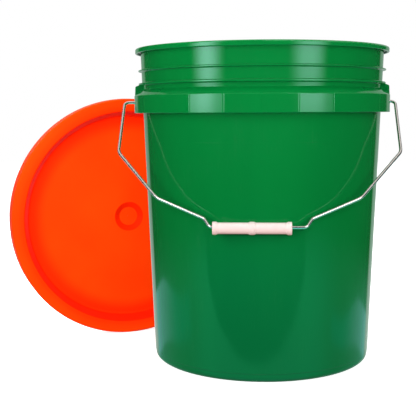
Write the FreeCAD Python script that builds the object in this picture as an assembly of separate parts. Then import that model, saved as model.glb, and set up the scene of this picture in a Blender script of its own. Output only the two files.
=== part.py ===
"""Plastic fermenting bucket: tapered pail, wire bail with a roller grip, and a press-on lid.

The bucket stands on the origin with its axis along +Z, and its two ears lie on the X axis.
The bail hangs forward (-Y) against the wall.  The lid stands on its edge behind the bucket
and leans on the skirt, with its top face towards the bucket.  All sizes are in millimetres.
"""
import FreeCAD, Part
import math
import os
from FreeCAD import Placement, Rotation, Vector

os.makedirs("parts", exist_ok=True)

# ---- bucket wall -------------------------------------------------------------------------
HEIGHT = 369.0            # table to rim
FOOT_RADIUS = 129.5       # the outer wall line carried down to the table
TAPER = 0.0391            # the wall widens this much per millimetre of height
WALL = 2.3                # wall thickness (the trade's 90 mil)
CHIME_ROUND = 7.0         # rounded corner between wall and foot
FOOT_BAND = 10.0          # height of the slightly smaller band round the foot
BAND_STEP = 0.45          # how far the band is set back
BAND_BLEND = 0.6          # height over which it runs out into the wall
FOOT_RING_INNER = 117.0   # inside edge of the ring the bucket stands on
FOOT_RING_FLARE = 3.0     # the ring's inner side slopes out by this much
FLOOR_UNDERSIDE = 4.6
FLOOR_TOP = 7.6
FLOOR_ROUND = 6.0

# ---- neck: lip, two ribs, shoulder and skirt ------------------------------------------------
RIM_RADIUS = 150.0
LIP_HEIGHT = 5.6
LIP_WALL = 2.4
LIP_CROWN_ROUND = 1.8
THIN_RIB_HEIGHT, THIN_RIB_RADIUS = 343.4, 146.6
THIN_RIB_CREST, THIN_RIB_FOOT, THIN_RIB_ROUND = 0.6, 1.3, 0.3     # half heights at its edge and at the wall
THICK_RIB_HEIGHT, THICK_RIB_RADIUS = 328.0, 146.3
THICK_RIB_CREST, THICK_RIB_FOOT, THICK_RIB_ROUND = 1.0, 1.6, 0.6
SHOULDER_TOP = 322.0
SKIRT_TOP = 314.4
SKIRT_BOTTOM = 294.3
SKIRT_RADIUS = 151.6
SKIRT_WALL = 2.3
SKIRT_ROOF = 1.6          # drop from the skirt's top edge to the hollow behind it
SHOULDER_WALL = 3.4       # the same under the shoulder
JOIN = 0.6                # how far separately drawn pieces of one moulding run into each other
PAST = 1.0                # how far a cutter runs past the face that it cuts
GUSSET_PITCH = 15.0       # degrees between the gussets that tie the skirt to the wall
GUSSET_WALL = 1.8
GUSSET_BOTTOM = 297.0
SINK_GROOVE_RADIUS = 4.0  # the moulding sinks a little into the skirt in front of each gusset
SINK_GROOVE_DEPTH = 0.12
GATE_NUB_RADIUS = 4.0     # where the plastic entered, under the middle of the floor
GATE_NUB_HEIGHT = 1.2

# ---- ears: hollow boxes above the skirt that hold the ends of the bail -----------------------
EAR_HALF_ANGLE = 8.4
EAR_SIDE_ANGLE = 0.9      # thickness of an ear's side wall, as an angle
EAR_OUTER = 150.4
EAR_CORNER_HEIGHT = 325.4
PIVOT_HEIGHT = 307.0
PIVOT_PAD_HALF = 9.0      # half width of the thicker pad behind the pivot hole
PIVOT_PAD_WALL = 4.4
PIVOT_PAD_BOTTOM, PIVOT_PAD_TOP = 295.3, 311.4
EAR_FOOT = 3.0            # an ear is drawn from this far below the skirt's top edge
EAR_CROWN_ROUND = 1.8
EAR_ROUND = 0.8
EAR_ROOF = 2.4

# ---- bail ------------------------------------------------------------------------------------
WIRE_RADIUS = 1.75
PIVOT_CLEARANCE = 0.08
WIRE_HEAD_RADIUS = 3.0    # upset head inside the ear
WIRE_HEAD_LENGTH = 1.5
WIRE_END = 145.1          # inner end of the wire, from the bucket's axis
BAIL_LEAN = 47.0          # degrees forward of hanging straight down
BAIL_SHIFT = -3.0         # the hand-bent loop sits this far to the left of the ears
DROP = 195.0              # pivot to the straight length that carries the grip
# half of the loop's outline: distance from its middle, distance from the pivot, bend radius
LOOP_CORNERS = [(162.0, 0.0, 5.5), (160.5, 84.0, 16.0), (111.0, 153.5, 22.0),
                (57.5, 183.0, 6.0), (50.8, DROP, 6.0)]

# ---- grip ------------------------------------------------------------------------------------
GRIP_LENGTH = 84.0
GRIP_MIDDLE = -9.3        # the roller has slid to the left end of the straight length
GRIP_HANG = 1.25          # its axis hangs this far below the wire's
GRIP_BORE = 3.4
GRIP_BODY = 6.1
GRIP_COLLAR = 7.0
COLLAR_WIDTH = 4.0
COLLAR_FLARE = 2.0        # length over which a collar runs down to the body
MIDDLE_RING_HALF = 2.2    # half width of the ring round the grip's middle

# ---- lid, drawn top up with its ring's top face at height 0 ---------------------------------
LID_RADIUS = 156.5
LID_EDGE_ROUND = 2.2
LID_WALL = 2.2
LID_SKIRT = 22.0
RING_INNER = 140.4        # inside edge of the flat ring
RING_THICK = 2.6
DISH_RADIUS = 133.4       # where the sloped wall would meet the panel
DISH_DEPTH = 12.0
DISH_ROUND = 6.0
SNAP_BEAD_TOP = 10.9      # the bead catches under the bucket's lip
SNAP_BEAD_RADIUS = 148.9
SNAP_BEAD_FLAT = 1.9      # drop from the bead's top to the end of its crest
SNAP_BEAD_RAMP = 7.6      # drop from the bead's top to the end of its lead-in slope
PLUG_THICKENING = 0.4     # extra thickness of the sloped wall
DIMPLE_RADIUS = 19.0
DIMPLE_FLAT = 12.5
DIMPLE_DEPTH = 3.0
GATE_RADIUS = 1.6
GATE_HEIGHT = 0.7         # how far the gate's stub stands out of the dimple
CENTRING_RIBS = 36
CENTRING_RIB_INNER = 150.7
CENTRING_RIB_WALL = 1.6
CUT_MARKS = 12            # shallow upright marks on the skirt, where it is cut to free the lid
CUT_MARK_RADIUS = 1.6
CUT_MARK_DEPTH = 0.5
CUT_MARK_LENGTH = 12.0

# ---- lid seal --------------------------------------------------------------------------------
SEAL_INNER, SEAL_OUTER = 143.0, 149.8
SEAL_THICK = 2.4

# ---- where the lid stands ----------------------------------------------------------------------
LID_TURN = 24.0           # degrees about the vertical, from facing straight forward
LID_LEAN = 1.5            # degrees its top leans towards the bucket
LID_DISTANCE = 150.2      # bucket axis to the lid's face, at table height
LID_ASIDE = -123.0        # the lid's middle, along its face from the nearest point

ABOVE = Vector(0, 0, 1)


def outer_wall(height):
    """Radius of the bucket's outer wall at a height."""
    return FOOT_RADIUS + TAPER * height


def rounded_path(corners, closed):
    """Edges through corners (point, radius): straight runs joined by tangent arcs."""
    count = len(corners)
    starts, ends, arcs = [], [], []
    for i, (point, radius) in enumerate(corners):
        is_end = not closed and i in (0, count - 1)
        if radius == 0 or is_end:
            starts.append(point)
            ends.append(point)
            arcs.append(None)
            continue
        back = (corners[i - 1][0] - point).normalize()
        ahead = (corners[(i + 1) % count][0] - point).normalize()
        half = back.getAngle(ahead) / 2
        reach = radius / math.tan(half)
        bisector = (back + ahead).normalize()
        middle = point + bisector * (radius / math.sin(half) - radius)
        starts.append(point + back * reach)
        ends.append(point + ahead * reach)
        arcs.append(Part.Arc(starts[-1], middle, ends[-1]))
    edges = []
    for i in range(count):
        if arcs[i]:
            edges.append(arcs[i].toShape())
        last = not closed and i == count - 1
        if not last:
            following = starts[(i + 1) % count]
            if ends[i].distanceToPoint(following) > 1e-6:
                edges.append(Part.LineSegment(ends[i], following).toShape())
    return Part.Wire(edges)


def lathe(outline, start=0.0, sweep=360.0):
    """Solid turned about Z from (radius, height, corner round) points."""
    corners = [(Vector(r, 0, z), round_) for r, z, round_ in outline]
    face = Part.Face(rounded_path(corners, closed=True))
    face.rotate(Vector(), ABOVE, start)
    return face.revolve(Vector(), ABOVE, sweep)


def around(shape, count, first=0.0):
    """Copies of a shape at even steps about Z."""
    copies = []
    for i in range(count):
        copy = shape.copy()
        copy.rotate(Vector(), ABOVE, first + i * 360.0 / count)
        copies.append(copy)
    return copies


def plate(outline, thickness):
    """Radial plate in the X-Z plane, centred on it, from (radius, height) points."""
    points = [Vector(r, -thickness / 2, z) for r, z in outline]
    return Part.Face(Part.makePolygon(points + points[:1])).extrude(Vector(0, thickness, 0))


def rib(height, radius, crest, foot, edge_round):
    """Outline points of a rib round the neck, from below to above."""
    fillet = 0.5
    return [
        (outer_wall(height - foot), height - foot, fillet), (radius, height - crest, edge_round),
        (radius, height + crest, edge_round), (outer_wall(height + foot), height + foot, fillet),
    ]


def bucket_body():
    """The turned form of the bucket, with its skirt still solid behind."""
    lip_bottom = HEIGHT - LIP_HEIGHT
    lip_roof = HEIGHT - LIP_WALL
    band_end = FOOT_BAND + BAND_BLEND
    return lathe([
        (0, FLOOR_UNDERSIDE, 0),
        (FOOT_RING_INNER - FOOT_RING_FLARE, FLOOR_UNDERSIDE, 1.5),
        (FOOT_RING_INNER, 0, 0.8),
        (outer_wall(0) - BAND_STEP, 0, CHIME_ROUND),
        (outer_wall(FOOT_BAND) - BAND_STEP, FOOT_BAND, 0),
        (outer_wall(band_end), band_end, 0),
        (outer_wall(SKIRT_BOTTOM), SKIRT_BOTTOM, 0),
        (SKIRT_RADIUS, SKIRT_BOTTOM, 0.6),
        (SKIRT_RADIUS, SKIRT_TOP, 0.9),
        (outer_wall(SHOULDER_TOP), SHOULDER_TOP, 1.2),
        *rib(THICK_RIB_HEIGHT, THICK_RIB_RADIUS, THICK_RIB_CREST, THICK_RIB_FOOT, THICK_RIB_ROUND),
        *rib(THIN_RIB_HEIGHT, THIN_RIB_RADIUS, THIN_RIB_CREST, THIN_RIB_FOOT, THIN_RIB_ROUND),
        (outer_wall(lip_roof), lip_roof, 0.6),
        (RIM_RADIUS - LIP_WALL, lip_roof, 0.6),
        (RIM_RADIUS - LIP_WALL, lip_bottom, 0.4),
        (RIM_RADIUS, lip_bottom, 0.7),
        (RIM_RADIUS, HEIGHT, LIP_CROWN_ROUND),
        (outer_wall(HEIGHT) - WALL, HEIGHT, 1.2),
        (outer_wall(FLOOR_TOP) - WALL, FLOOR_TOP, FLOOR_ROUND),
        (0, FLOOR_TOP, 0),
    ])


def on_ear_side(edge, angle):
    """True for the edges of an ear's two flat sides that end up on its outside."""
    middle = edge.CenterOfMass
    across = abs(math.remainder(math.degrees(math.atan2(middle.y, middle.x)) - angle, 360))
    reach = math.hypot(middle.x, middle.y)
    is_outside = reach > outer_wall(middle.z) + PAST and middle.z > SKIRT_TOP - EAR_FOOT / 2
    return across > EAR_HALF_ANGLE - 0.05 and is_outside


def ear(angle):
    """Solid block of one ear, from the shoulder up to the thick rib, with rounded side edges."""
    foot = SKIRT_TOP - EAR_FOOT
    block = lathe([
        (outer_wall(SKIRT_TOP) - PAST, foot, 0),
        (SKIRT_RADIUS - JOIN, foot, 0),
        (SKIRT_RADIUS - JOIN, SKIRT_TOP, 0),
        (EAR_OUTER, EAR_CORNER_HEIGHT, EAR_CROWN_ROUND),
        (outer_wall(THICK_RIB_HEIGHT), THICK_RIB_HEIGHT + JOIN, 0),
        (outer_wall(SKIRT_TOP) - PAST, THICK_RIB_HEIGHT + JOIN, 0),
    ], 0, 2 * EAR_HALF_ANGLE)
    block.rotate(Vector(), ABOVE, angle - EAR_HALF_ANGLE)
    return block.makeFillet(EAR_ROUND, [edge for edge in block.Edges if on_ear_side(edge, angle)])


def skirt_channel():
    """The hollow between skirt and wall, open underneath and taller inside the ears."""
    channel_top = SHOULDER_TOP - SHOULDER_WALL
    channel_foot = SKIRT_BOTTOM - PAST
    skirt_inner = SKIRT_RADIUS - SKIRT_WALL
    ring = lathe([
        (outer_wall(channel_foot), channel_foot, 0),
        (skirt_inner, channel_foot, 0),
        (skirt_inner, SKIRT_TOP - SKIRT_ROOF, 0.8),
        (outer_wall(channel_top), channel_top, 0),
    ])
    hollow_half = EAR_HALF_ANGLE - EAR_SIDE_ANGLE
    pockets = []
    for angle in (0.0, 180.0):
        pockets.append(lathe([
            (outer_wall(GUSSET_BOTTOM), GUSSET_BOTTOM, 0),
            (skirt_inner, GUSSET_BOTTOM, 0),
            (skirt_inner, SKIRT_TOP - SKIRT_ROOF, 0),
            (EAR_OUTER - SKIRT_WALL, EAR_CORNER_HEIGHT - EAR_ROOF, 1.0),
            (outer_wall(THICK_RIB_HEIGHT - EAR_ROOF), THICK_RIB_HEIGHT - EAR_ROOF, 0),
        ], angle - hollow_half, 2 * hollow_half))
    return ring.fuse(pockets)


def gussets():
    """Radial plates that tie the skirt to the wall, left out where the ears are."""
    skirt_side = SKIRT_RADIUS - SKIRT_WALL + JOIN
    shape = plate([
        (outer_wall(GUSSET_BOTTOM) - JOIN, GUSSET_BOTTOM),
        (skirt_side, GUSSET_BOTTOM),
        (skirt_side, SKIRT_TOP - SKIRT_ROOF),
        (outer_wall(SHOULDER_TOP) - JOIN, SHOULDER_TOP - SHOULDER_WALL + JOIN / 2),
    ], GUSSET_WALL)
    count = round(360.0 / GUSSET_PITCH)
    return [copy for i, copy in enumerate(around(shape, count)) if i % (count // 2)]


def sink_grooves():
    """Cutters for the faint upright grooves on the skirt in front of the gussets."""
    place = Vector(SKIRT_RADIUS + SINK_GROOVE_RADIUS - SINK_GROOVE_DEPTH, 0, SKIRT_BOTTOM - PAST)
    groove = Part.makeCylinder(SINK_GROOVE_RADIUS, SKIRT_TOP - SKIRT_BOTTOM + PAST, place)
    count = round(360.0 / GUSSET_PITCH)
    return [copy for i, copy in enumerate(around(groove, count)) if i % (count // 2)]


def make_bucket_shell():
    """Bucket moulding: wall, floor, lip, ribs, skirt, gussets and the two ears."""
    shell = bucket_body().fuse([ear(0.0), ear(180.0)])
    shell = shell.cut(skirt_channel())
    additions = gussets()
    additions.append(Part.makeCylinder(GATE_NUB_RADIUS, GATE_NUB_HEIGHT + JOIN,
                                       Vector(0, 0, FLOOR_UNDERSIDE - GATE_NUB_HEIGHT)))
    pad_height = PIVOT_PAD_TOP - PIVOT_PAD_BOTTOM
    for side in (-1, 1):
        inner = SKIRT_RADIUS - PIVOT_PAD_WALL
        pad = Part.makeBox(PIVOT_PAD_WALL - SKIRT_WALL / 2, 2 * PIVOT_PAD_HALF, pad_height,
                           Vector(inner, -PIVOT_PAD_HALF, PIVOT_PAD_BOTTOM))
        if side < 0:
            pad.rotate(Vector(), ABOVE, 180)
        additions.append(pad)
    shell = shell.fuse(additions).cut(sink_grooves())
    for side in (-1, 1):
        inner = SKIRT_RADIUS - PIVOT_PAD_WALL - PAST
        hole = Part.makeCylinder(WIRE_RADIUS + PIVOT_CLEARANCE, PIVOT_PAD_WALL + 2 * PAST,
                                 Vector(side * inner, 0, PIVOT_HEIGHT), Vector(side, 0, 0))
        shell = shell.cut(hole)
    return shell.removeSplitter()


def bail_point(across, down):
    """Point in the hanging bail's plane: across the bucket, and away from the pivot."""
    lean = math.radians(BAIL_LEAN)
    return Vector(across, -down * math.sin(lean), PIVOT_HEIGHT - down * math.cos(lean))


def make_bail_wire():
    """One bent wire: ends through the ears with upset heads, and a dropped middle."""
    corners = [(bail_point(-WIRE_END, 0), 0)]
    for across, down, bend in LOOP_CORNERS:
        corners.append((bail_point(BAIL_SHIFT - across, down), bend))
    for across, down, bend in reversed(LOOP_CORNERS):
        corners.append((bail_point(BAIL_SHIFT + across, down), bend))
    corners.append((bail_point(WIRE_END, 0), 0))
    path = rounded_path(corners, closed=False)
    section = Part.Wire(Part.makeCircle(WIRE_RADIUS, bail_point(-WIRE_END, 0), Vector(-1, 0, 0)))
    wire = path.makePipeShell([section], True, False)
    heads = []
    for side in (-1, 1):
        head = Part.makeCylinder(WIRE_HEAD_RADIUS, WIRE_HEAD_LENGTH,
                                 Vector(side * WIRE_END, 0, PIVOT_HEIGHT), Vector(side, 0, 0))
        heads.append(head)
    return wire.fuse(heads).removeSplitter()


def make_handle_grip():
    """Roller grip: a tube with a flared collar at each end and one in the middle."""
    half = GRIP_LENGTH / 2
    collar_end = half - COLLAR_WIDTH
    ring_end = MIDDLE_RING_HALF + COLLAR_FLARE
    right = [
        (GRIP_COLLAR, MIDDLE_RING_HALF, 0.6), (GRIP_BODY, ring_end, 0.8),
        (GRIP_BODY, collar_end - COLLAR_FLARE, 0.8), (GRIP_COLLAR, collar_end, 0.6),
        (GRIP_COLLAR, half, 0.9), (GRIP_BORE, half, 0.5),
    ]
    left = [(radius, -along, edge_round) for radius, along, edge_round in reversed(right)]
    grip = lathe(left + right)
    grip.rotate(Vector(), Vector(0, 1, 0), 90)
    grip.translate(bail_point(GRIP_MIDDLE, DROP + GRIP_HANG))
    return grip


def stand_lid(shape):
    """Move a lid part from its own frame to where the lid stands against the bucket."""
    lean = math.radians(LID_LEAN)
    middle_height = (LID_RADIUS - LID_EDGE_ROUND) * math.cos(lean) + LID_EDGE_ROUND * (1 - math.sin(lean))
    face_distance = LID_DISTANCE - middle_height * math.tan(lean)
    turn = Rotation(ABOVE, LID_TURN)
    tip = Rotation(Vector(1, 0, 0), 90 + LID_LEAN)
    place = turn.multVec(Vector(LID_ASIDE, face_distance, 0)) + Vector(0, 0, middle_height)
    moved = shape.copy()
    moved.Placement = Placement(place, turn.multiply(tip))
    return moved


def make_lid_shell():
    """Lid moulding: flat ring, sunk panel with a dimple, plug wall, skirt and snap bead."""
    skirt_inner = LID_RADIUS - LID_WALL
    slope = (RING_INNER - DISH_RADIUS) / DISH_DEPTH
    plug_wall = LID_WALL + PLUG_THICKENING
    plug_top = RING_INNER + plug_wall - slope * RING_THICK
    plug_foot = DISH_RADIUS + plug_wall - slope * LID_WALL
    panel_under = DISH_DEPTH + LID_WALL
    dimple_wall = 0.8
    lid = lathe([
        (0, -DISH_DEPTH - DIMPLE_DEPTH, 0),
        (DIMPLE_FLAT, -DISH_DEPTH - DIMPLE_DEPTH, 2.0),
        (DIMPLE_RADIUS, -DISH_DEPTH, 2.0),
        (DISH_RADIUS, -DISH_DEPTH, DISH_ROUND),
        (RING_INNER, 0, 1.5),
        (LID_RADIUS, 0, LID_EDGE_ROUND),
        (LID_RADIUS, -LID_SKIRT, 0.8),
        (skirt_inner, -LID_SKIRT, 0.8),
        (skirt_inner, -SNAP_BEAD_TOP - SNAP_BEAD_RAMP, 0),
        (SNAP_BEAD_RADIUS, -SNAP_BEAD_TOP - SNAP_BEAD_FLAT, 0.5),
        (SNAP_BEAD_RADIUS, -SNAP_BEAD_TOP - 0.3, 0.4),
        (skirt_inner, -SNAP_BEAD_TOP, 0),
        (skirt_inner, -RING_THICK, 0.6),
        (plug_top, -RING_THICK, 0.6),
        (plug_foot, -panel_under, DISH_ROUND - LID_WALL),
        (DIMPLE_RADIUS + dimple_wall, -panel_under, 2.0),
        (DIMPLE_FLAT + dimple_wall, -panel_under - DIMPLE_DEPTH, 2.0),
        (0, -panel_under - DIMPLE_DEPTH, 0),
    ])
    gate = Part.makeCylinder(GATE_RADIUS, 2 * GATE_HEIGHT,
                             Vector(0, 0, -DISH_DEPTH - DIMPLE_DEPTH - GATE_HEIGHT))
    rib_top, rib_foot = JOIN - RING_THICK, -SNAP_BEAD_TOP - JOIN
    centring_rib = plate([
        (CENTRING_RIB_INNER, rib_top), (skirt_inner + JOIN, rib_top),
        (skirt_inner + JOIN, rib_foot), (CENTRING_RIB_INNER, rib_foot),
    ], CENTRING_RIB_WALL)
    lid = lid.fuse([gate] + around(centring_rib, CENTRING_RIBS))
    mark_place = Vector(LID_RADIUS + CUT_MARK_RADIUS - CUT_MARK_DEPTH, 0, -LID_SKIRT - PAST)
    cut_mark = Part.makeCylinder(CUT_MARK_RADIUS, CUT_MARK_LENGTH + PAST, mark_place)
    lid = lid.cut(around(cut_mark, CUT_MARKS, 5.0))
    return stand_lid(lid.removeSplitter())


def make_lid_gasket():
    """Seal ring that lies in the lid's channel, against the underside of the flat ring."""
    top = -RING_THICK
    seal = lathe([
        (SEAL_INNER, top, 0.4),
        (SEAL_OUTER, top, 0.4),
        (SEAL_OUTER, top - SEAL_THICK, 0.9),
        (SEAL_INNER, top - SEAL_THICK, 0.9),
    ])
    return stand_lid(seal)


PARTS = {
    "bucket_shell": make_bucket_shell,
    "bail_wire": make_bail_wire,
    "handle_grip": make_handle_grip,
    "lid_shell": make_lid_shell,
    "lid_gasket": make_lid_gasket,
}

for name, make in PARTS.items():
    make().exportStep(f"parts/{name}.step")
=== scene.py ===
"""Looks of the plastic fermenting bucket: materials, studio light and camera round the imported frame.

Everything is in metres, in the frame's own axes: the bucket stands on z = 0 with its axis on Z, its ears
are on the X axis, and the camera looks at it roughly along +Y.
"""
import math

import bpy
from mathutils import Euler, Matrix, Vector

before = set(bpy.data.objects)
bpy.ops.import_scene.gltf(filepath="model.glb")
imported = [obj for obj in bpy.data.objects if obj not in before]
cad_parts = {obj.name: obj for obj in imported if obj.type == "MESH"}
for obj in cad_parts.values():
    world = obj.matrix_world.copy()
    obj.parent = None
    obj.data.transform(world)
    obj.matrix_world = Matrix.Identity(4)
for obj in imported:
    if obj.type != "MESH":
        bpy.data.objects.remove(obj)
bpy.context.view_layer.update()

# ---- camera ----------------------------------------------------------------------------------
CAMERA_PLACE = (0.0, -1.050, 0.2957)
CAMERA_TURN = math.radians(3.52)            # to the left of straight ahead
CAMERA_DIP = math.radians(6.35)
CAMERA_ROLL = math.radians(-0.28)
LENS, SENSOR = 74.94, 36.0                  # in millimetres
NEAREST_SEEN = 0.01

# ---- features of the bucket and the lid that the materials follow ----------------------------
GUSSETS = 24                                # behind the skirt, at angles counted from the X axis
SKIRT_FOOT, SKIRT_TOP = 0.2950, 0.3135
WITNESS_FOOT, WITNESS_TOP = 0.2618, 0.2624  # a faint line round the wall
LID_MIDDLE = (-0.1718, 0.0834, 0.1564)      # middle of its top face
LID_FACING = (0.4066, -0.9132, -0.0262)
DISH_FOOT, DISH_TOP = 0.1334, 0.1404        # radii of the sloped wall round the sunk panel
SHADE_SPREAD, SHADE_SPREAD_EDGE = 0.004, 0.020            # how far the painted shade beside the slope spreads over the panel
DIMPLE_FLAT, DIMPLE_EDGE = 0.0125, 0.0190   # radii of the dimple's floor and rim

# ---- studio ----------------------------------------------------------------------------------
FLOOR_REACH = 4.0                           # from the middle of the floor to each side
SOFTBOX_AWAY = 1.0                          # from the bucket's axis
SOFTBOX_FOOT, SOFTBOX_TOP = 0.18, 1.20
DARK_BELOW = 0.225                          # on a softbox
FULL_FROM, FULL_TO = 0.335, 0.85            # heights between which a softbox is at its brightest


def make_camera():
    camera = bpy.data.objects.new("camera", bpy.data.cameras.new("camera"))
    camera.data.lens = LENS
    camera.data.sensor_width = SENSOR
    camera.data.clip_start = NEAREST_SEEN
    aim = Euler((math.pi / 2 - CAMERA_DIP, 0, CAMERA_TURN)).to_matrix()
    aim = aim @ Matrix.Rotation(CAMERA_ROLL, 3, "Z")
    camera.matrix_world = Matrix.Translation(CAMERA_PLACE) @ aim.to_4x4()
    bpy.context.scene.collection.objects.link(camera)
    bpy.context.scene.camera = camera


# ---- node trees ------------------------------------------------------------------------------
class Tree:
    """A shader node tree. Most methods add nodes and give back an output socket."""

    def __init__(self, owner):
        owner.use_nodes = True
        self.owner = owner
        self.nodes = owner.node_tree.nodes
        self.links = owner.node_tree.links

    def put(self, value, socket):
        """Links value to the socket if it is a socket itself, and otherwise sets it there."""
        if isinstance(value, bpy.types.NodeSocket):
            self.links.new(value, socket)
        elif value is not None:
            socket.default_value = value

    def add(self, kind, values=(), output=0, **settings):
        node = self.nodes.new("ShaderNode" + kind)
        for name, setting in settings.items():
            setattr(node, name, setting)
        for socket, value in zip(node.inputs, values):
            self.put(value, socket)
        return node.outputs[output]

    def math(self, operation, first, second=None):
        return self.add("Math", (first, second), operation=operation)

    def square(self, value):
        return self.math("MULTIPLY", value, value)

    def split(self, vector):
        node = self.add("SeparateXYZ", (vector,)).node
        return node.outputs["X"], node.outputs["Y"], node.outputs["Z"]

    def join(self, x, y, z):
        return self.add("CombineXYZ", (x, y, z))

    def scaled(self, vector, amounts):
        return self.add("VectorMath", (vector, amounts), operation="MULTIPLY")

    def dot(self, first, second):
        return self.add("VectorMath", (first, second), output=1, operation="DOT_PRODUCT")

    def noise(self, vector, scale, detail=2.0, rough=0.5):
        node = self.add("TexNoise").node
        for name, value in (("Vector", vector), ("Scale", scale), ("Detail", detail),
                            ("Roughness", rough)):
            self.put(value, node.inputs[name])
        return node.outputs["Fac"]

    def ease(self, value, start, end, low=0.0, high=1.0):
        """Goes smoothly from low to high as value goes from start to end, and stays level outside."""
        return self.add("MapRange", (value, start, end, low, high), interpolation_type="SMOOTHSTEP")

    def between(self, value, start, end, edge):
        """1 where value is between start and end, falling to 0 over edge on each side."""
        rise = self.ease(value, start - edge, start)
        return self.math("MULTIPLY", rise, self.ease(value, end, end + edge, 1.0, 0.0))

    def mix(self, share, first, second):
        """A colour: first where share is 0, second where it is 1."""
        node = self.add("Mix", data_type="RGBA").node
        self.put(share, node.inputs["Factor"])
        self.put(first, node.inputs[6])
        self.put(second, node.inputs[7])
        return node.outputs[2]


class Recipe(Tree):
    """A material on the principled shader. Constants go straight onto its sockets."""

    def __init__(self, name, constants):
        super().__init__(bpy.data.materials.new(name))
        self.shader = self.nodes["Principled BSDF"]
        for socket, value in constants.items():
            self.shader.inputs[socket].default_value = value
        self.place = self.add("TexCoord", output=3)
        self.relief = None

    def set(self, socket, value):
        self.put(value, self.shader.inputs[socket])

    def bump(self, height, depth):
        """Adds relief: height is about 0 to 1, depth is what 1 stands for, in metres."""
        node = self.add("Bump").node
        node.inputs["Strength"].default_value = 1.0
        node.inputs["Distance"].default_value = depth
        self.put(height, node.inputs["Height"])
        if self.relief is not None:
            self.links.new(self.relief, node.inputs["Normal"])
        self.relief = node.outputs["Normal"]
        self.set("Normal", self.relief)

    def cloud(self, scale, detail=2.0):
        """Soft patches that run in no direction, about 0 to 1."""
        return self.noise(self.place, scale, detail)

    def patchy(self, cloud, low, high):
        """Goes from low to high over the middle of a cloud's range."""
        return self.ease(cloud, 0.3, 0.7, low, high)

    def lines(self, stretch, thin):
        """Fine scratches: 1 on a thin line, 0 elsewhere. stretch is the noise's scale along each axis."""
        field = self.noise(self.scaled(self.place, stretch), 1.0)
        off_line = self.math("ABSOLUTE", self.math("SUBTRACT", field, 0.5))
        return self.ease(off_line, 0.0, thin, 1.0, 0.0)


# ---- materials -------------------------------------------------------------------------------
def bucket_plastic():
    """Glossy green polyethylene, with flow marks up the wall, slow waves, nesting scuffs and a witness
    line. The skirt's panels are drawn in a little between its gussets."""
    deep_green, pale_green = (0.0008, 0.165, 0.029, 1), (0.0012, 0.182, 0.032, 1)
    scuffed_green = (0.05, 0.30, 0.12, 1)
    look = Recipe("bucket_plastic", {"IOR": 1.5, "Specular Tint": (0.55, 1.0, 0.97, 1)})
    x, y, z = look.split(look.place)
    flow = look.noise(look.scaled(look.place, (11, 11, 1.7)), 1.0, detail=3.0, rough=0.6)
    scratches = look.lines(stretch=(260, 260, 3.5), thin=0.012)
    worn = look.ease(look.cloud(16.0), 0.46, 0.62)
    scuff = look.math("MULTIPLY", scratches, worn)
    green = look.mix(look.patchy(flow, 0.0, 1.0), deep_green, pale_green)
    look.set("Base Color", look.mix(look.math("MULTIPLY", scuff, 0.05), green, scuffed_green))
    shine = look.patchy(look.cloud(9.0), 0.05, 0.08)
    look.set("Roughness", look.math("ADD", shine, look.math("MULTIPLY", scuff, 0.15)))
    look.bump(look.cloud(15.0, detail=1.0), depth=0.00022)
    look.bump(look.cloud(800.0, detail=1.0), depth=0.0000025)
    look.bump(scuff, depth=-0.000006)
    look.bump(look.between(z, WITNESS_FOOT, WITNESS_TOP, edge=0.0009), depth=0.00003)
    panel = look.math("DIVIDE", look.math("ARCTAN2", y, x), math.tau / GUSSETS)
    across = look.math("SUBTRACT", look.math("FRACT", panel), 0.5)
    on_skirt = look.between(z, SKIRT_FOOT, SKIRT_TOP, edge=0.0012)
    look.bump(look.math("MULTIPLY", look.square(across), on_skirt), depth=0.0010)
    return look.owner


def lid_plastic():
    """Satin orange polyethylene, with faint rings round the lid's middle. The sloped wall round the sunk
    panel, the panel next to it and the dimple's rim are painted a deeper red as painted shade."""
    deep_orange, pale_orange = (0.97, 0.042, 0.0010, 1), (1.0, 0.052, 0.0013, 1)
    # Painted shade: the deeper red for the slope, the panel beside it and the dimple's rim.
    painted_shade_red = (0.99, 0.010, 0.0004, 1)
    look = Recipe("lid_plastic", {"IOR": 1.5, "Specular Tint": (1.0, 0.42, 0.16, 1),
                                  "Specular IOR Level": 0.12})
    offset = look.add("VectorMath", (look.place, LID_MIDDLE), operation="SUBTRACT")
    along = look.dot(offset, LID_FACING)
    reach = look.add("VectorMath", (offset,), output=1, operation="LENGTH")
    radius = look.math("SQRT", look.math("SUBTRACT", look.square(reach), look.square(along)))
    # Masks for the painted shade: the sloped wall, the panel beside it and the dimple's rim get the deeper
    # red.
    on_slope = look.between(radius, DISH_FOOT, DISH_TOP, edge=0.001)
    shade_beside_slope = look.between(radius, DISH_FOOT - SHADE_SPREAD, DISH_FOOT, edge=SHADE_SPREAD_EDGE)
    in_dimple = look.between(radius, DIMPLE_FLAT, DIMPLE_EDGE, edge=0.001)
    painted_shade = look.math("MAXIMUM", on_slope, look.math("MULTIPLY", shade_beside_slope, 0.75))
    painted_shade = look.math("MAXIMUM", painted_shade, look.math("MULTIPLY", in_dimple, 0.85))
    cloud = look.cloud(11.0, detail=3.0)
    orange = look.mix(look.patchy(cloud, 0.0, 1.0), deep_orange, pale_orange)
    # The painted shade is mixed into the base colour here.
    look.set("Base Color", look.mix(painted_shade, orange, painted_shade_red))
    rings = look.noise(look.scaled(look.join(radius, along, 0.0), (900, 900, 0)), 1.0)
    satin = look.patchy(cloud, 0.44, 0.50)
    look.set("Roughness", look.math("ADD", satin, look.math("MULTIPLY", rings, 0.05)))
    look.bump(rings, depth=0.000012)
    look.bump(look.cloud(900.0), depth=0.00001)
    look.bump(look.cloud(22.0, detail=1.0), depth=0.0002)
    return look.owner


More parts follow.
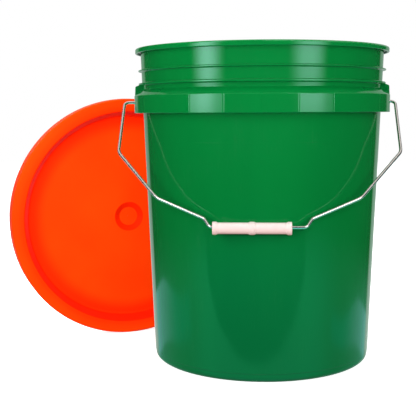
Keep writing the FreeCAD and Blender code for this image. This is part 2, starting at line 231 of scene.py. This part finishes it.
def plain_recipe(name, constants, patches, colours, roughness, grain, depth):
    """A material with one cloud of patches in its colour and roughness, and a fine grain as relief."""
    look = Recipe(name, constants)
    cloud = look.cloud(patches, detail=3.0)
    look.set("Base Color", look.mix(cloud, *colours))
    look.set("Roughness", look.patchy(cloud, *roughness))
    look.bump(look.cloud(grain), depth)
    return look.owner


def zinc_wire():
    """Bright zinc plating on drawn steel wire."""
    colours = (0.64, 0.585, 0.55, 1), (0.80, 0.74, 0.70, 1)
    return plain_recipe("zinc_wire", {"Metallic": 1.0}, patches=240.0, colours=colours,
                        roughness=(0.2, 0.32), grain=1500.0, depth=0.00001)


def grip_plastic():
    """Warm white low-gloss plastic."""
    colours = (0.66, 0.575, 0.545, 1), (0.70, 0.615, 0.585, 1)
    return plain_recipe("grip_plastic", {"IOR": 1.48}, patches=60.0, colours=colours,
                        roughness=(0.32, 0.42), grain=1400.0, depth=0.000006)


def seal_rubber():
    """Pale foamed seal."""
    colours = (0.50, 0.50, 0.46, 1), (0.58, 0.58, 0.54, 1)
    return plain_recipe("seal_rubber", {"IOR": 1.45}, patches=90.0, colours=colours,
                        roughness=(0.6, 0.75), grain=1800.0, depth=0.00003)


def dress(node, material):
    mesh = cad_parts[node].data
    mesh.materials.clear()
    mesh.materials.append(material)


# ---- floor and lamps -------------------------------------------------------------------------
def make_floor():
    """A floor that also glows, so that the camera sees it as white."""
    darker, paler = (0.78, 0.78, 0.78, 1), (0.80, 0.80, 0.80, 1)
    floor = bpy.data.objects.new("floor", bpy.data.meshes.new("floor"))
    corners = [(FLOOR_REACH * x, FLOOR_REACH * y, 0) for x, y in ((-1, -1), (1, -1), (1, 1), (-1, 1))]
    floor.data.from_pydata(corners, [], [(0, 1, 2, 3)])
    look = Recipe("pale_floor", {"Roughness": 0.9, "Specular IOR Level": 0.1,
                                 "Emission Color": (1, 1, 1, 1), "Emission Strength": 0.80})
    look.set("Base Color", look.mix(look.cloud(3.0, detail=3.0), darker, paler))
    floor.data.materials.append(look.owner)
    floor.visible_glossy = False
    floor.visible_diffuse = False
    bpy.context.scene.collection.objects.link(floor)


def hang_lamp(name, place, target, width, height, radiance):
    """A flat lamp that faces its target, with the same radiance all over."""
    lamp = bpy.data.lights.new(name, "AREA")
    lamp.shape = "RECTANGLE"
    lamp.size, lamp.size_y = width, height
    lamp.energy = radiance * math.pi * width * height
    box = bpy.data.objects.new(name, lamp)
    aim = (Vector(target) - Vector(place)).to_track_quat("-Z", "Y").to_matrix().to_4x4()
    box.matrix_world = Matrix.Translation(place) @ aim
    box.visible_camera = False
    bpy.context.scene.collection.objects.link(box)
    return box


def hang_fill(name, place, target, width, height, radiance):
    """A lamp that shows in no reflection."""
    box = hang_lamp(name, place, target, width, height, radiance)
    box.visible_glossy = False
    return box


def make_side_light(name, azimuth, radiance, core, width):
    """A tall softbox beside the camera, brightest within core of its upright middle line and fading
    towards its sides, its foot and its top."""
    middle = (SOFTBOX_FOOT + SOFTBOX_TOP) / 2
    outward = Vector((math.sin(azimuth), -math.cos(azimuth), 0))
    place = outward * SOFTBOX_AWAY + Vector((0, 0, middle))
    box = hang_lamp(name, place, (0, 0, middle), width, SOFTBOX_TOP - SOFTBOX_FOOT, radiance)
    glow = Tree(box.data)
    here = glow.add("NewGeometry")
    offset = glow.dot(here, (-outward.y, outward.x, 0))
    height = glow.split(here)[2]
    across = glow.ease(glow.math("ABSOLUTE", offset), core, width / 2, 1.0, 0.0)
    foot = glow.ease(height, DARK_BELOW, FULL_FROM)
    upward = glow.math("MULTIPLY", foot, glow.ease(height, FULL_TO, SOFTBOX_TOP, 1.0, 0.0))
    glow.put(glow.math("MULTIPLY", across, upward), glow.nodes["Emission"].inputs["Strength"])


def gather(name, nodes):
    """A collection of some of the frame's nodes, for a lamp that lights nothing else."""
    collection = bpy.data.collections.new(name)
    for node in nodes:
        collection.objects.link(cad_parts[node])
    return collection


def make_fills():
    hang_fill("front_fill", place=(-0.06, -0.62, 0.30), target=(0, 0, 0.95),
              width=1.0, height=0.25, radiance=4.3)
    hang_fill("top_fill", place=(0, 0, 1.7), target=(0, 0, 0), width=0.8, height=0.8, radiance=10.0)
    for side in (-1, 1):
        hang_fill("back_fill", place=(side * 0.9, 1.1, 0.7), target=(0, 0, 0.2),
                  width=0.8, height=0.8, radiance=3.6)
    lid_lamp = hang_fill("lid_fill", place=(0.10, -0.90, 0.50), target=(-0.17, 0.08, 0.156),
                         width=0.5, height=0.5, radiance=10.5)
    grip_lamp = hang_fill("grip_fill", place=(0, -0.60, 0.03), target=(-0.01, -0.143, 0.173),
                          width=0.30, height=0.12, radiance=6.5)
    grip_lamp.data.color = (1.0, 0.62, 0.62)
    lid_only = gather("lid_only", ("lid_shell", "lid_gasket"))
    lid_lamp.light_linking.receiver_collection = lid_only
    lid_lamp.light_linking.blocker_collection = lid_only
    grip_lamp.light_linking.receiver_collection = gather("grip_only", ("handle_grip",))


# ---- surroundings ----------------------------------------------------------------------------
# A direction is told by its z, by its azimuth, which is 0 towards the camera's side and positive towards
# +X, and by aside, which is the azimuth without its sign. Angles are in radians.
def mirrored_table(sky, azimuth, aside, z):
    """A table below: bright in front, with a dim round patch in its middle, and half as bright aside."""
    patch, front, sides = (0.04, 0.09, 0.35, 1), (0.16, 0.92, 0.72, 1), (0.14, 0.42, 0.34, 1)
    patch_azimuth, patch_half_width = -0.09, 0.87
    patch_z, patch_half_depth = -0.225, 0.13
    wide = sky.math("DIVIDE", sky.math("SUBTRACT", azimuth, patch_azimuth), patch_half_width)
    deep = sky.math("DIVIDE", sky.math("SUBTRACT", z, patch_z), patch_half_depth)
    outside = sky.ease(sky.math("ADD", sky.square(wide), sky.square(deep)), 0.96, 1.08)
    return sky.mix(sky.ease(aside, 0.9, 1.6), sky.mix(outside, patch, front), sides)


def lit_band(sky, azimuth, aside, z):
    """How much of the lit band shows, low down at the sides and behind. It starts lower on the +X side,
    lies higher towards the back, and goes on faintly below its foot."""
    drop = sky.ease(azimuth, -0.1, 0.1, 0.0, 0.022)
    top = sky.math("ADD", sky.math("ADD", z, drop), sky.ease(aside, 1.5, 2.2, 0.0, -0.04))
    foot = sky.math("ADD", z, sky.ease(aside, 1.5, 2.2, 0.0, -0.02))
    below_top = sky.ease(top, -0.260, -0.266)
    above_foot = sky.ease(foot, -0.318, -0.310, low=0.12)
    band = sky.math("MULTIPLY", below_top, above_foot)
    return sky.math("MULTIPLY", band, sky.between(aside, 1.40, 3.2, edge=0.10))


def mirrored_wall(sky, z):
    """A bright wall behind: brightest low down, with a darker floor under it."""
    high, low, floor = (0.36, 0.46, 0.40, 1), (0.80, 0.88, 0.86, 1), (0.34, 0.52, 0.46, 1)
    wall = sky.mix(sky.ease(z, -0.35, 0.0, 1.0, 0.0), high, low)
    return sky.mix(sky.ease(z, -0.275, -0.295), wall, floor)


def mirrored_room(sky, azimuth, aside, z):
    """All that reflections show: a dark front over the table, the lit band, the wall and a ceiling."""
    dark, ceiling = (0.02, 0.02, 0.02, 1), (0.9, 0.9, 0.9, 1)
    band_aside, band_behind = (0.12, 0.85, 0.72, 1), (0.42, 0.90, 0.98, 1)
    room = sky.mix(sky.ease(z, -0.17, -0.27), dark, mirrored_table(sky, azimuth, aside, z))
    band = sky.mix(sky.ease(aside, 1.6, 2.1), band_aside, band_behind)
    room = sky.mix(lit_band(sky, azimuth, aside, z), room, band)
    room = sky.mix(sky.ease(aside, 2.50, 2.58), room, mirrored_wall(sky, z))
    return sky.mix(sky.ease(z, 0.55, 0.75), room, ceiling)


def soft_fill(sky, aside, z):
    """What lights the matt part of the shading: reddish from low in front, brighter towards the back."""
    low, high = (0.52, 0.15, 0.15, 1), (0.32, 0.31, 0.31, 1)
    sides, back = (0.60, 0.58, 0.58, 1), (0.80, 0.80, 0.80, 1)
    fill = sky.mix(sky.ease(z, -0.3, 0.3), low, high)
    fill = sky.mix(sky.ease(aside, 0.7, 1.6), fill, sides)
    return sky.mix(sky.ease(aside, 1.7, 2.6), fill, back)


def make_world():
    """White for the camera, a soft fill for the matt shading and a room for reflections."""
    world = bpy.data.worlds.new("world")
    sky = Tree(world)
    x, y, z = sky.split(sky.add("TexCoord", output=0))
    azimuth = sky.math("ARCTAN2", x, sky.math("MULTIPLY", y, -1.0))
    aside = sky.math("ABSOLUTE", azimuth)
    ray = sky.add("LightPath").node.outputs
    room = mirrored_room(sky, azimuth, aside, z)
    light = sky.mix(ray["Is Diffuse Ray"], room, soft_fill(sky, aside, z))
    light = sky.mix(ray["Is Camera Ray"], light, (1, 1, 1, 1))
    sky.put(light, sky.nodes["Background"].inputs["Color"])
    world.cycles.sampling_method = "NONE"
    bpy.context.scene.world = world


make_camera()
dress("bucket_shell", bucket_plastic())
dress("lid_shell", lid_plastic())
dress("bail_wire", zinc_wire())
dress("handle_grip", grip_plastic())
dress("lid_gasket", seal_rubber())
make_floor()
make_world()
make_side_light("left_softbox", math.radians(-46.5), radiance=7.0, core=0.01, width=0.60)
make_side_light("right_softbox", math.radians(40.5), radiance=4.8, core=0.05, width=0.68)
make_fills()
# The bucket mirrors a room without the lid in it.
for node in ("lid_shell", "lid_gasket"):
    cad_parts[node].visible_glossy = False
bpy.context.scene.view_settings.view_transform = "Standard"
